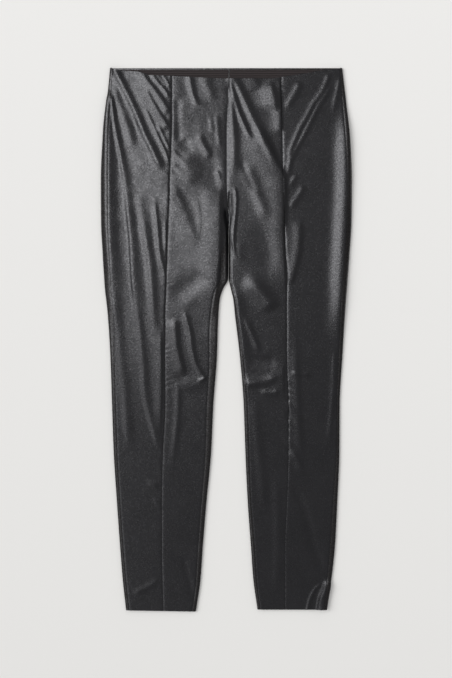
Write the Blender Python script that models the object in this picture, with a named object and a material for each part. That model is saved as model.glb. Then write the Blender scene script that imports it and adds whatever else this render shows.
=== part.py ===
"""High-waist leggings in coated cloth, laid flat with the front up.

Eight cut pieces, each a closed solid: four front panels, two back panels that wrap
round the rolled edges of each leg, and the two halves of the back waist facing.
All working sizes are millimetres; the meshes are written in metres.
x runs to the viewer's right, "down" is the distance below the waist, z is height
above the surface that the leggings lie on.
"""

import math
from collections import namedtuple

import bmesh
import bpy
import numpy as np
from mathutils import Vector
from mathutils.geometry import delaunay_2d_cdt

MM = 0.001

# ---------------------------------------------------------------- driving sizes
LENGTH = 966.0  # waist to the longest hem
WALL = 1.2  # coated cloth with its turned seam edges pressed flat
SEAM_GAP = 0.3  # clear space between two sewn pieces
EDGE_HEIGHT = 4.6  # surface to the top of the rolled edge
EDGE_RADIUS = EDGE_HEIGHT / 2
EDGE_ARC = math.pi * EDGE_RADIUS  # round the rolled edge, floor to top

CROTCH = 277.0  # waist to crotch
ROLL_START = 222.0  # where the inner thighs begin to turn down into the crotch
ROLL_END_ANGLE = math.radians(110.0)  # how far they have turned there
BACK_RELEASE = 11.0  # stretch over which the back panel's edge leaves the centre seam
CLIMB_START = 288.0  # the inseam climbs round the leg's edge from here
CLIMB_END = 340.0  # and lies on the top side from here

FACING_WALL = 0.8
FACING_TOP = 2.0  # turned top edge of the back waist above the facing
FACING_DEPTH = 36.0  # lower edge of the facing
FACING_SIDE_CLEARANCE = 7.0  # facing's end to the outside of the rolled edge

RISE_LIMIT = 2.1  # highest that folds lift the front panel
SINK_LIMIT = 1.7  # lowest that they drop it
SINK_LIMIT_WAIST = 0.7  # over the facing
WAIST_LIMIT_END = (38.0, 60.0)  # the waist's limit fades out over this stretch

SEAM_DIP = 0.9  # how far both panels sink at a front seam
SEAM_DIP_WIDTH = 3.2
CENTRE_DIP = 1.0
CENTRE_DIP_WIDTH = 4.5

# ------------------------------------------------------- the outline and seams
# x of each line on the front at a distance below the waist. Above the crotch the
# two inner columns are the centre front seam.
Section = namedtuple("Section", "down outer_l seam_l inner_l inner_r seam_r outer_r")
SECTIONS = (
    Section(0, -207.0, -98.0, 5.0, 5.0, 98.0, 206.0),
    Section(42, -211.0, -98.0, 3.0, 3.0, 98.0, 211.0),
    Section(113, -219.5, -98.0, 0.5, 0.5, 99.5, 218.5),
    Section(200, -223.5, -101.0, 0.5, 0.5, 101.0, 223.5),
    Section(277, -223.0, -103.5, 4.0, 4.0, 104.0, 222.5),
    Section(326, -220.5, -105.0, 3.4, 4.6, 105.5, 219.5),
    Section(375, -217.5, -106.5, 2.4, 4.8, 108.5, 216.0),
    Section(395, -216.0, -107.0, -6.5, 8.0, 108.0, 214.5),
    Section(412, -214.0, -108.0, -11.5, 12.0, 107.5, 213.0),
    Section(440, -211.0, -109.0, -14.0, 15.0, 107.5, 211.0),
    Section(512, -206.5, -109.5, -16.5, 23.5, 107.5, 206.5),
    Section(600, -203.5, -109.0, -23.0, 30.5, 110.5, 201.5),
    Section(685, -200.5, -113.0, -27.0, 33.5, 110.5, 201.0),
    Section(770, -195.0, -114.5, -35.0, 37.5, 108.0, 197.5),
    Section(855, -189.0, -114.5, -42.0, 43.5, 104.5, 193.0),
    Section(911, -184.5, -113.5, -46.0, 47.5, 104.5, 187.0),
    Section(966, -178.5, -112.0, -54.0, 55.0, 104.5, 178.5),
)

# Distance of the side seams and inseams from the outline, on the top side.
Inset = namedtuple("Inset", "down side_l inseam_l inseam_r side_r")
INSETS = (
    Inset(0, 4.0, 14.0, 4.0, 4.0),
    Inset(60, 8.0, 14.0, 4.0, 7.0),
    Inset(110, 10.0, 14.0, 4.0, 8.0),
    Inset(200, 13.0, 14.0, 4.0, 9.0),
    Inset(340, 12.5, 14.0, 4.0, 9.0),
    Inset(412, 11.0, 13.0, 5.0, 9.0),
    Inset(466, 9.0, 15.0, 5.5, 8.0),
    Inset(555, 7.0, 12.0, 6.5, 6.0),
    Inset(640, 7.0, 11.0, 7.0, 5.0),
    Inset(770, 6.0, 9.0, 6.0, 8.0),
    Inset(855, 6.0, 8.5, 6.5, 9.0),
    Inset(966, 6.0, 7.0, 5.0, 6.0),
)

# How far the front's waist edge lies below the back's.
WaistDip = namedtuple("WaistDip", "x dip")
WAIST_DIPS = (
    WaistDip(-207, 1.0),
    WaistDip(-190, 4.0),
    WaistDip(-154, 7.5),
    WaistDip(-136, 13.0),
    WaistDip(-98, 14.5),
    WaistDip(-60, 16.5),
    WaistDip(5, 19.0),
    WaistDip(75, 19.0),
    WaistDip(98, 16.5),
    WaistDip(126, 12.0),
    WaistDip(145, 9.0),
    WaistDip(167, 5.0),
    WaistDip(206, 1.0),
)

# The hems' distance below the waist.
Hem = namedtuple("Hem", "x down")
HEMS = (Hem(-178, 964.0), Hem(-54, 966.0), Hem(55, 962.5), Hem(178, 962.7))

# ------------------------------------------------------------------- the folds
# One row for each ridge (height above 0) or trough (below 0): how far it rises,
# half its width, the lengths over which it fades in and out (0 where it starts at
# an edge at its full height), and the (x, down) points that its crest runs through.
Fold = namedtuple("Fold", "name height width fade_in fade_out path")
FOLDS = (
    # left outer panel: the side valley and the long ridges down the thigh
    Fold("side_valley_l", -1.2, 9.0, 50, 160,
         ((-204, 56), (-198, 101), (-195, 145), (-191, 208), (-188, 279), (-184, 341), (-179, 412), (-164, 546))),
    Fold("thigh_ridge_l", 1.2, 5.5, 50, 150,
         ((-203, 65), (-194, 104), (-185, 149), (-177, 226), (-172, 279), (-168, 332), (-163, 412), (-156, 475),
          (-148, 546), (-134, 635), (-125, 679))),
    Fold("thigh_ridge_l2", 1.0, 7.0, 40, 120,
         ((-159, 195), (-152, 234), (-145, 279), (-138, 332), (-131, 386), (-124, 448), (-118, 493))),
    Fold("thigh_trough_l", -0.7, 6.0, 50, 70, ((-143, 234), (-136, 279), (-129, 338), (-124, 395))),
    Fold("thigh_ridge_l3", 0.6, 4.5, 30, 50, ((-122, 234), (-118, 284), (-115, 332), (-111, 377))),
    # left outer panel: drags from the hip down to the front seam
    Fold("hip_ridge_l", 1.3, 6.0, 0, 45,
         ((-198, 12), (-180, 42), (-161, 78), (-147, 113), (-131, 149), (-111, 186))),
    Fold("hip_trough_l", -1.1, 6.0, 0, 45,
         ((-188, 5), (-170, 35), (-150, 71), (-136, 106), (-120, 142), (-104, 177))),
    Fold("hip_ridge_l2", 0.9, 4.5, 20, 30, ((-133, 108), (-116, 144), (-100, 172))),
    Fold("waist_ridge_l", 1.2, 6.0, 0, 25, ((-154, 14), (-136, 40), (-122, 58), (-104, 87))),
    Fold("waist_trough_l", -0.9, 4.5, 0, 20, ((-141, 14), (-122, 39), (-108, 58), (-100, 71))),
    Fold("waist_ridge_l2", 0.8, 4.5, 0, 15, ((-131, 14), (-115, 33), (-100, 51))),
    Fold("waist_trough_l2", -0.8, 4.5, 25, 20, ((-136, 44), (-116, 76), (-100, 104))),
    Fold("hip_ridge_l3", 0.9, 5.0, 30, 45, ((-201, 28), (-189, 78), (-178, 113), (-167, 154), (-163, 185))),
    # left inner panel
    Fold("waist_ridge_l3", 1.2, 5.0, 0, 25, ((-67, 17), (-56, 49), (-43, 71))),
    Fold("waist_trough_l3", -0.8, 5.0, 0, 25, ((-59, 19), (-49, 49), (-35, 71))),
    Fold("waist_ridge_l4", 0.9, 5.0, 0, 25, ((-39, 19), (-31, 44), (-26, 64))),
    Fold("belly_swell_l", 0.7, 16.0, 30, 30, ((-52, 71), (-56, 101), (-51, 124))),
    Fold("belly_ridge_l", 0.9, 8.0, 35, 30, ((-51, 124), (-29, 145), (-13, 169), (-7, 195))),
    Fold("belly_trough_l", -0.9, 8.0, 30, 25, ((-65, 140), (-42, 158), (-26, 177), (-13, 204))),
    Fold("thigh_ridge_l4", 0.9, 7.0, 25, 60, ((-99, 217), (-84, 249), (-70, 284), (-59, 323), (-54, 355))),
    Fold("thigh_trough_l2", -0.7, 6.0, 20, 40, ((-90, 206), (-74, 240), (-59, 275), (-49, 315))),
    Fold("inner_swell_l", 1.3, 20.0, 80, 90, ((-24, 200), (-19, 279), (-19, 345), (-27, 412), (-38, 500))),
    Fold("centre_ridge_l", 0.7, 4.5, 25, 25, ((-12, 80), (-10, 119), (-9, 150))),
    # right inner panel: drags that fan out from the top of the centre seam
    Fold("fan_ridge_r", 1.3, 4.5, 0, 40, ((7, 24), (16, 64), (24, 92), (31, 124), (38, 149))),
    Fold("fan_trough_r", -1.5, 4.5, 0, 40, ((10, 23), (19, 48), (28, 72), (38, 100))),
    Fold("fan_ridge_r2", 1.7, 7.0, 0, 55, ((17, 21), (31, 49), (46, 81), (62, 117), (78, 147), (90, 174))),
    Fold("fan_trough_r2", -1.0, 9.0, 30, 45, ((51, 49), (65, 78), (79, 113), (94, 156))),
    Fold("fan_ridge_r3", 0.9, 6.0, 0, 25, ((24, 21), (46, 42), (60, 60))),
    Fold("thigh_ridge_r", 1.1, 11.0, 35, 60, ((24, 163), (49, 210), (70, 256), (83, 297))),
    Fold("thigh_trough_r", -1.0, 8.0, 30, 45, ((31, 149), (53, 185), (72, 220), (88, 256))),
    Fold("thigh_ridge_r2", 0.8, 9.0, 40, 50, ((78, 285), (88, 345), (92, 405))),
    Fold("crotch_ridge_r", 0.9, 5.5, 15, 40, ((10, 380), (42, 393), (72, 430))),
    # right outer panel: two long parallel drags from the hip, and the outer roll
    Fold("hip_ridge_r", 1.0, 5.0, 0, 40, ((183, 12), (154, 67), (127, 115), (108, 163))),
    Fold("hip_ridge_r2", 1.1, 5.0, 25, 30, ((184, 32), (155, 88), (135, 129), (111, 170), (106, 199))),
    Fold("hip_ridge_r3", 0.8, 5.0, 0, 30, ((202, 24), (193, 56), (188, 85))),
    Fold("waist_ridge_r", 0.6, 6.0, 15, 15, ((133, 26), (117, 51), (106, 74))),
    Fold("outer_roll_r", 1.5, 9.0, 70, 110,
         ((212, 55), (212, 128), (211, 208), (205, 288), (200, 359), (194, 457), (191, 530))),
    # knees, calves and hems
    Fold("knee_ridge_r", 0.8, 7.0, 15, 20, ((35, 528), (63, 535), (90, 537))),
    Fold("knee_trough_r", -0.7, 7.0, 15, 20, ((35, 516), (63, 518), (88, 520))),
    Fold("knee_ridge_r2", 0.7, 6.0, 15, 20, ((38, 551), (63, 559), (88, 571))),
    Fold("knee_ridge_l", 1.0, 6.0, 40, 12, ((-68, 444), (-59, 501), (-47, 537), (-40, 556))),
    Fold("calf_trough_r", -0.7, 9.0, 50, 50, ((113, 733), (138, 786), (156, 854), (176, 907))),
    Fold("hem_ridge_r", 0.9, 5.0, 0, 15, ((136, 960), (147, 932), (167, 914))),
    Fold("hem_ridge_r2", 1.2, 5.0, 0, 10, ((150, 961), (160, 936), (178, 916))),
)
PATH_STEPS = 6  # straight pieces between two points of a fold's path

# Rows of points shared by both sides of every seam, closer where shapes change.
STATION_ZONES = ((0, 212, 16.3), (212, 344, 8.3), (344, 440, 13.7), (440, 966, 27.7))

FILL_SPACING = 19.0
FILL_CLEARANCE = 9.5
LANE_CLEARANCE = 1.6
FOLD_CLEARANCE = 3.4
FOLD_SPACING = 13.0
FOLD_LANES = (0.0, 1.25, -1.25)  # crests of all folds first, then their flanks, in fold widths
SEAM_LANE = 3.6
ROLL_LANES = (0.0, 0.75, 1.5)  # turns, in radians, where rows of points run down the inner roll


# -------------------------------------------------------------- small functions
def smooth_step(value):
    """0 to 1 with level ends."""
    t = np.clip(value, 0.0, 1.0)
    return t * t * (3 - 2 * t)


def smooth_curve(xs, ys):
    """A curve through the table's points that never overshoots between them."""
    xs = np.array(xs, float)
    ys = np.array(ys, float)
    step = np.diff(xs)
    slope = np.diff(ys) / step
    tangent = np.zeros_like(ys)
    tangent[0] = slope[0]
    tangent[-1] = slope[-1]
    for i in range(1, len(ys) - 1):
        if slope[i - 1] * slope[i] > 0:
            before = 2 * step[i] + step[i - 1]
            after = step[i] + 2 * step[i - 1]
            tangent[i] = (before + after) / (before / slope[i - 1] + after / slope[i])

    def at(x):
        x = np.clip(x, xs[0], xs[-1])
        i = np.clip(np.searchsorted(xs, x, side="right") - 1, 0, len(step) - 1)
        t = (x - xs[i]) / step[i]
        start = ys[i] + (tangent[i] * step[i] + 2 * ys[i]) * t
        end = ys[i + 1] * (3 - 2 * t) + tangent[i + 1] * step[i] * (t - 1)
        return start * (1 - t) ** 2 + end * t * t

    return at


def column(table, name, key="down"):
    """One column of a table as a smooth curve."""
    return smooth_curve([getattr(row, key) for row in table], [getattr(row, name) for row in table])


waist_dip = column(WAIST_DIPS, "dip", key="x")


def hem_down(x):
    return np.interp(x, [row.x for row in HEMS], [row.down for row in HEMS])


def to_y(x, down):
    """Row-frame y of a point; the hem's slant is shared out along the leg."""
    return LENGTH / 2 - down * hem_down(x) / LENGTH


def stations():
    """The shared distances below the waist, without repeats."""
    downs = []
    for start, end, step in STATION_ZONES:
        count = max(1, round((end - start) / step))
        downs.extend(start + (end - start) * i / count for i in range(count + 1))
    return sorted(set(round(down, 3) for down in downs))


STATIONS = stations()


def path_points(points):
    """Points along a smooth curve through a fold's own points."""
    pts = np.array(points, float)
    ends = np.vstack([2 * pts[0] - pts[1], pts, 2 * pts[-1] - pts[-2]])
    line = []
    for i in range(1, len(ends) - 2):
        before, start, end, after = ends[i - 1 : i + 3]
        for k in range(PATH_STEPS):
            t = k / PATH_STEPS
            line.append(0.5 * (2 * start + (end - before) * t
                               + (2 * before - 5 * start + 4 * end - after) * t**2
                               + (3 * start - before - 3 * end + after) * t**3))
    line.append(pts[-1])
    return np.array(line)


def path_lengths(line):
    return np.concatenate([[0.0], np.cumsum(np.hypot(*np.diff(line, axis=0).T))])


def fold_lane(fold, offset):
    """Evenly spaced points beside a fold's crest, or on it where the offset is 0."""
    line = path_points(fold.path)
    along = path_lengths(line)
    heading = np.gradient(line, along, axis=0)
    heading = heading / np.hypot(*heading.T)[:, None]
    beside = line + offset * np.stack([-heading[:, 1], heading[:, 0]], axis=1)
    places = np.linspace(0, along[-1], max(2, round(along[-1] / FOLD_SPACING)) + 1)
    return np.stack([np.interp(places, along, beside[:, k]) for k in (0, 1)], axis=1)


def fold_height(fold, x, down):
    """Height that one fold adds at each point."""
    line = path_points(fold.path)
    along = path_lengths(line)
    best = np.full(x.shape, np.inf)
    place = np.zeros(x.shape)
    for i in range(len(line) - 1):
        span = line[i + 1] - line[i]
        length = along[i + 1] - along[i]
        t = np.clip(((x - line[i][0]) * span[0] + (down - line[i][1]) * span[1]) / length**2, 0, 1)
        gap = np.hypot(x - line[i][0] - t * span[0], down - line[i][1] - t * span[1])
        place = np.where(gap < best, along[i] + t * length, place)
        best = np.minimum(best, gap)
    fade = smooth_step((along[-1] - place) / fold.fade_out)
    if fold.fade_in > 0:
        fade = fade * smooth_step(place / fold.fade_in)
    return fold.height * fade * np.exp(-((best / fold.width) ** 2))


# ------------------------------------------------------------------ the leg
class Leg:
    """The lines of one leg. inward is +1 where the inner edge faces +x."""

    def __init__(self, tag, inward):
        self.inward = inward
        self.outer = column(SECTIONS, "outer_" + tag)
        self.seam = column(SECTIONS, "seam_" + tag)
        self.inner_line = column(SECTIONS, "inner_" + tag)
        self.side_inset = column(INSETS, "side_" + tag)
        self.inseam_inset = column(INSETS, "inseam_" + tag)

    def inner(self, down):
        """Inner outline, or this panel's side of the centre front seam."""
        return self.inner_line(down) - self.inward * SEAM_GAP / 2

    def side_seam(self, down):
        return self.outer(down) + self.inward * self.side_inset(down)

    def back_climb(self, down):
        """0 while the back's inner edge lies flat, 1 when it reaches its inseam on top."""
        return smooth_step((down - CLIMB_START) / (CLIMB_END - CLIMB_START))

    def back_end(self, down):
        """Arc from the floor to the back panel's inner end, round the leg's edge."""
        full = EDGE_ARC + self.inseam_inset(down) - EDGE_RADIUS - SEAM_GAP / 2
        return full * self.back_climb(down)

    def front_end(self, down):
        """The same arc to the front panel's inner end."""
        rolled = EDGE_ARC - EDGE_RADIUS * ROLL_END_ANGLE * smooth_step((down - ROLL_START) / (CROTCH - ROLL_START))
        clear = self.back_end(down) + SEAM_GAP * (1 + self.gap_widening(down))
        return np.where(down < CROTCH, rolled, np.maximum(rolled, clear))

    def gap_widening(self, down):
        """The seam opens a little more where it lies on the tight inside of the roll."""
        climb = self.back_climb(down)
        return 4 * climb * (1 - climb)

    def top_tangent(self, down):
        """x where the flat top turns into the inner roll."""
        turned = np.minimum((EDGE_ARC - self.front_end(down)) / EDGE_RADIUS, math.pi / 2)
        reach = np.where(down < CROTCH, EDGE_RADIUS * np.sin(np.clip(turned, 0, None)), EDGE_RADIUS)
        return self.inner(down) - self.inward * reach

    def front_inner_end(self, down):
        """Developed x of the front panel's inner end."""
        return self.top_tangent(down) + self.inward * (EDGE_ARC - self.front_end(down))


LEGS = {"left": Leg("l", 1), "right": Leg("r", -1)}


def seam_dips(x, down):
    """The panels sink where they are sewn together."""
    dips = np.zeros(x.shape)
    for leg in LEGS.values():
        dips -= SEAM_DIP * np.exp(-(((x - leg.seam(down)) / SEAM_DIP_WIDTH) ** 2))
    centre = LEGS["left"].inner_line(down)
    above_crotch = smooth_step((CROTCH - down) / 30)
    dips -= CENTRE_DIP * above_crotch * np.exp(-(((x - centre) / CENTRE_DIP_WIDTH) ** 2))
    return dips


def relief(x, down):
    """Height of the top side above its plain level, at points given as arrays."""
    x = np.asarray(x, float)
    down = np.asarray(down, float)
    total = seam_dips(x, down)
    for fold in FOLDS:
        total = total + fold_height(fold, x, down)
    fade = smooth_step((down - WAIST_LIMIT_END[0]) / (WAIST_LIMIT_END[1] - WAIST_LIMIT_END[0]))
    sink = SINK_LIMIT_WAIST + (SINK_LIMIT - SINK_LIMIT_WAIST) * fade
    limit = np.where(total > 0, RISE_LIMIT, sink)
    return limit * np.tanh(total / limit)


# ------------------------------------------------------------- front panels
def front_point(leg, across, down, depth):
    """Space point of a front panel: developed x, down, and depth into the wall."""
    tangent = leg.top_tangent(down)
    past = leg.inward * (across - tangent)
    angle = np.clip(past / EDGE_RADIUS, 0, math.pi)
    x = np.where(past > 0, tangent + leg.inward * EDGE_RADIUS * np.sin(angle), across)
    lift = relief(x, down) * np.clip(np.cos(angle), 0, 1) - depth
    z = EDGE_HEIGHT - EDGE_RADIUS * (1 - np.cos(angle)) + np.cos(angle) * lift
    y = to_y(x, down)
    return np.stack([x + leg.inward * np.sin(angle) * lift, y, z], axis=-1)


class PointSet:
    """Plane points kept a set distance apart; the first ones win."""

    def __init__(self):
        self.points = []

    def add(self, across, down, clearance):
        if self.points:
            near = np.array(self.points) - (across, down)
            if np.min(np.hypot(near[:, 0], near[:, 1])) < clearance:
                return
        self.points.append((float(across), float(down)))


def panel_boundary(low_line, high_line):
    """Closed loop of a panel in the developed plane, from its two long lines."""

    def side(line):
        top = waist_dip(line(0.0))
        return [(line(down), down) for down in [top] + [s for s in STATIONS if s > top + 5]]

    left = side(low_line)
    right = side(high_line)
    width = right[0][0] - left[0][0]
    count = round(abs(width) / 9)
    top = [left[0][0] + width * i / count for i in range(1, count)]
    hem_width = right[-1][0] - left[-1][0]
    hem_count = round(abs(hem_width) / 14)
    hem = [left[-1][0] + hem_width * i / hem_count for i in range(1, hem_count)]
    loop = left + [(x, LENGTH) for x in hem] + right[::-1]
    return loop + [(x, waist_dip(x)) for x in reversed(top)]


def panel_points(leg, low_line, high_line, boundary):
    """Inner points of a panel: beside its seams, along its folds, then a filling."""
    cloud = PointSet()
    cloud.points = [(float(a), float(d)) for a, d in boundary]

    def inside(across, down, margin):
        if not waist_dip(across) + margin < down < LENGTH - margin:
            return False
        return low_line(down) + margin < across < high_line(down) - margin

    for down in STATIONS:
        lanes = [low_line(down) + SEAM_LANE, high_line(down) - SEAM_LANE]
        if ROLL_START < down < CLIMB_END:
            tangent = leg.top_tangent(down)
            lanes += [tangent + leg.inward * EDGE_RADIUS * turn for turn in ROLL_LANES]
        for across in lanes:
            if inside(across, down, LANE_CLEARANCE):
                cloud.add(across, down, LANE_CLEARANCE)
    for reach in FOLD_LANES:
        for fold in FOLDS:
            for across, down in fold_lane(fold, reach * fold.width):
                if inside(across, down, FOLD_CLEARANCE):
                    cloud.add(across, down, FOLD_CLEARANCE)
    rows = int(LENGTH / (FILL_SPACING * 0.87))
    for row in range(1, rows):
        down = LENGTH * row / rows
        low = low_line(down)
        high = high_line(down)
        count = max(1, round((high - low) / FILL_SPACING))
        for i in range(count):
            across = low + (high - low) * (i + 0.25 + 0.5 * (row % 2)) / count
            if inside(across, down, FILL_CLEARANCE * 0.6):
                cloud.add(across, down, FILL_CLEARANCE)
    return cloud.points


def front_panel(name, leg, low_line, high_line, material):
    """A front panel: its outline filled with triangles, and the wall below them."""
    boundary = panel_boundary(low_line, high_line)
    points = panel_points(leg, low_line, high_line, boundary)
    flat = [Vector((across, -down)) for across, down in points]
    loop = list(range(len(boundary)))
    edges = [(i, (i + 1) % len(loop)) for i in loop]
    verts, _, faces, _, _, _ = delaunay_2d_cdt(flat, edges, [], 1, 1e-6)
    across = np.array([v.x for v in verts])
    down = np.array([-v.y for v in verts])
    outside = front_point(leg, across, down, 0.0)
    inside = front_point(leg, across, down, WALL)
    count = len(verts)
    shell = [tuple(face) for face in faces] + [tuple(count + i for i in reversed(face)) for face in faces]
    used = {}
    for face in faces:
        for a, b in zip(face, face[1:] + face[:1]):
            used[(a, b)] = True
    rims = [(b, a, count + a, count + b) for a, b in used if (b, a) not in used]
    return add_solid(name, np.vstack([outside, inside]), shell + rims, material)


# -------------------------------------------------------------- back panels
ARC_FRACTIONS = (0.0, 0.25, 0.5, 0.75, 1.0)
FLAT_KNOT = 1.2  # spacing of the edge's points while it lies flat


def edge_knots(full, climb):
    """Arc places of an edge's points, from the floor to the panel's end."""
    raised = [EDGE_ARC * part for part in ARC_FRACTIONS] + [full]
    flat = [-FLAT_KNOT * (len(raised) - 1 - i) for i in range(len(raised))]
    return [(1 - climb) * low + climb * high for low, high in zip(flat, raised)]


def edge_ring(floor_tangent, outward, knots):
    """Points and inward normals round an edge, as (x, z, nx, nz)."""
    ring = []
    for s in knots:
        if s <= 0:
            ring.append((floor_tangent + outward * s, 0.0, 0.0, 1.0))
        elif s < EDGE_ARC:
            angle = s / EDGE_RADIUS
            x = floor_tangent + outward * EDGE_RADIUS * math.sin(angle)
            z = EDGE_RADIUS * (1 - math.cos(angle))
            ring.append((x, z, -outward * math.sin(angle), math.cos(angle)))
        else:
            ring.append((floor_tangent - outward * (s - EDGE_ARC), EDGE_HEIGHT, 0.0, -1.0))
    return ring


def back_section(leg, down):
    """Closed section of a back panel: outside points, then inside points."""
    side_full = EDGE_ARC + leg.side_inset(down) - EDGE_RADIUS - SEAM_GAP / 2
    side_tangent = leg.outer(down) + leg.inward * EDGE_RADIUS
    side = edge_ring(side_tangent, -leg.inward, edge_knots(side_full, 1.0))
    climb = float(leg.back_climb(down))
    inseam_full = EDGE_ARC + leg.inseam_inset(down) - EDGE_RADIUS - SEAM_GAP / 2
    release = float(smooth_step((down - CROTCH) / BACK_RELEASE))
    inner_tangent = leg.inner(down) - leg.inward * EDGE_RADIUS * release
    inner = edge_ring(inner_tangent, leg.inward, edge_knots(inseam_full, climb))
    line = np.array(side[::-1] + inner)
    lift = relief(line[:, 0], np.full(len(line), down)) * np.clip(-line[:, 3], 0, 1)
    y = to_y(line[:, 0], down)
    walls = []
    for depth in (0.0, WALL):
        x = line[:, 0] + line[:, 2] * (depth - lift)
        z = line[:, 1] + line[:, 3] * (depth - lift)
        walls.append(np.stack([x, y, z], axis=-1))
    return np.vstack([walls[0], walls[1][::-1]])


def back_panel(name, leg, material):
    """A back panel lofted through its sections, with the waist and hem closed."""
    rings = [back_section(leg, down) for down in STATIONS]
    size = len(rings[0])
    faces = []
    for row in range(len(rings) - 1):
        for i in range(size):
            k = (i + 1) % size
            faces.append((row * size + i, row * size + k, (row + 1) * size + k, (row + 1) * size + i))
    for start in (0, (len(rings) - 1) * size):
        for i in range(size // 2 - 1):
            faces.append((start + i, start + i + 1, start + size - 2 - i, start + size - 1 - i))
    return add_solid(name, np.vstack(rings), faces, material)


# ------------------------------------------------------------- waist facing
def waist_facing(name, leg, material):
    """Half of the facing: a thin strip on the inside of the back waist."""
    columns = 9
    low = WALL + SEAM_GAP
    rows = []
    for down in (FACING_TOP, FACING_DEPTH):
        start = leg.outer(down) + leg.inward * FACING_SIDE_CLEARANCE
        end = leg.inner(down)
        xs = np.linspace(start, end, columns)
        for z in (low, low + FACING_WALL):
            rows.append(np.stack([xs, to_y(xs, down), np.full(columns, z)], axis=-1))
    strip = [(0, 1), (1, 3), (3, 2), (2, 0)]
    faces = []
    for i in range(columns - 1):
        for a, b in strip:
            faces.append((a * columns + i, b * columns + i, b * columns + i + 1, a * columns + i + 1))
    for i in (0, columns - 1):
        faces.append((i, columns + i, 3 * columns + i, 2 * columns + i))
    return add_solid(name, np.vstack(rows), faces, material)


# ------------------------------------------------------------ scene helpers
def make_material(name, color, roughness):
    material = bpy.data.materials.new(name)
    material.use_nodes = True
    shader = material.node_tree.nodes["Principled BSDF"]
    shader.inputs["Base Color"].default_value = (*color, 1.0)
    shader.inputs["Roughness"].default_value = roughness
    shader.inputs["Metallic"].default_value = 0.0
    material.diffuse_color = (*color, 1.0)
    return material


def add_solid(name, points, faces, material):
    """A closed mesh in metres, its faces turned outwards, in the garment's collection."""
    mesh = bpy.data.meshes.new(name)
    shape = bmesh.new()
    verts = [shape.verts.new(Vector(point) * MM) for point in points]
    for face in faces:
        shape.faces.new([verts[i] for i in face])
    bmesh.ops.recalc_face_normals(shape, faces=shape.faces)
    bmesh.ops.triangulate(shape, faces=shape.faces)
    shape.to_mesh(mesh)
    shape.free()
    mesh.shade_smooth()
    mesh.set_sharp_from_angle(angle=math.radians(50))
    mesh.materials.append(material)
    solid = bpy.data.objects.new(name, mesh)
    GARMENT.objects.link(solid)
    return solid


def clear_scene():
    for thing in list(bpy.data.objects):
        bpy.data.objects.remove(thing, do_unlink=True)


clear_scene()
GARMENT = bpy.data.collections.new("leather_leggings")
bpy.context.scene.collection.children.link(GARMENT)

LEATHER = make_material("black_coated_cloth", (0.020, 0.020, 0.021), 0.40)
BACK_LEATHER = make_material("black_coated_cloth_back", (0.018, 0.017, 0.017), 0.45)
FACING = make_material("dark_brown_facing", (0.035, 0.027, 0.026), 0.85)

for side_name, leg_lines in LEGS.items():
    half_gap = leg_lines.inward * SEAM_GAP / 2

    def side_line(down, leg=leg_lines, gap=half_gap):
        return leg.side_seam(down) + gap

    def seam_outer(down, leg=leg_lines, gap=half_gap):
        return leg.seam(down) - gap

    def seam_inner(down, leg=leg_lines, gap=half_gap):
        return leg.seam(down) + gap

    outer_lines = (side_line, seam_outer)
    inner_lines = (seam_inner, leg_lines.front_inner_end)
    if leg_lines.inward < 0:
        outer_lines = outer_lines[::-1]
        inner_lines = inner_lines[::-1]
    front_panel("front_outer_" + side_name, leg_lines, *outer_lines, LEATHER)
    front_panel("front_inner_" + side_name, leg_lines, *inner_lines, LEATHER)
    back_panel("back_" + side_name, leg_lines, BACK_LEATHER)
    waist_facing("waist_facing_" + side_name, leg_lines, FACING)
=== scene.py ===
"""High-waist leggings in black coated cloth, laid flat with the front up: the finished look.

Working sizes are millimetres and the meshes are written in metres. x runs to the
viewer's right, "down" is the distance below the waist, z is height above the surface
that the leggings lie on. The outline and the seams are those of the frame's solids; the
creases, the sewing and the grain are added here.
"""

import math
from collections import namedtuple

import bpy
import numpy as np
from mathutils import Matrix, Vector


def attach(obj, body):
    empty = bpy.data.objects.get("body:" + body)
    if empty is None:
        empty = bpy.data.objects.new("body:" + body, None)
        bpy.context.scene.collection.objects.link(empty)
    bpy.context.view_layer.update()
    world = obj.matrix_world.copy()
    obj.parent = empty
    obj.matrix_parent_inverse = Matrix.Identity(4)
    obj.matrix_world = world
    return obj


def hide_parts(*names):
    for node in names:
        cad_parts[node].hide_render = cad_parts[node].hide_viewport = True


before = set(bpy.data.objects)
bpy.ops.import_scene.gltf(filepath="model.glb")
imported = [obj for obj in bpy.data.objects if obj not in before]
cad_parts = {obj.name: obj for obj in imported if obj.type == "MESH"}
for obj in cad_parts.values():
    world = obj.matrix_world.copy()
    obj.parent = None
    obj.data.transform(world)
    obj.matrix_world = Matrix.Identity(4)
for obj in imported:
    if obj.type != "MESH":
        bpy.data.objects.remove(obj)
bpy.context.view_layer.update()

MM = 0.001

# ---------------- driving sizes
LENGTH = 966.0  # waist to the longest hem
WALL = 1.2  # coated cloth with its turned seam edges pressed flat
SEAM_GAP = 0.3  # clear space between two sewn pieces
EDGE_HEIGHT = 4.6  # surface to the top of the rolled edge
EDGE_RADIUS = EDGE_HEIGHT / 2
EDGE_ARC = math.pi * EDGE_RADIUS

CROTCH = 277.0
ROLL_START = 222.0  # from here to the crotch the front's inner edge rolls over
ROLL_END_ANGLE = math.radians(110.0)
BACK_RELEASE = 11.0  # the back leaves the centre seam over this length
CLIMB_START = 288.0  # from here to CLIMB_END its inner edge climbs to the inseam
CLIMB_END = 340.0

FACING_WALL = 0.8
FACING_TOP = 3.2
FACING_DEPTH = 36.0
FACING_SIDE_CLEARANCE = 7.0
FACING_SEAM_GAP = 0.9  # half the dark line at the centre back

RISE_LIMIT = 7.0  # highest that folds lift the front panel
SINK_LIMIT = 1.9
SINK_LIMIT_WAIST = 0.8  # over the facing
WAIST_LIMIT_END = (38.0, 60.0)  # between these the one limit passes into the other

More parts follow.
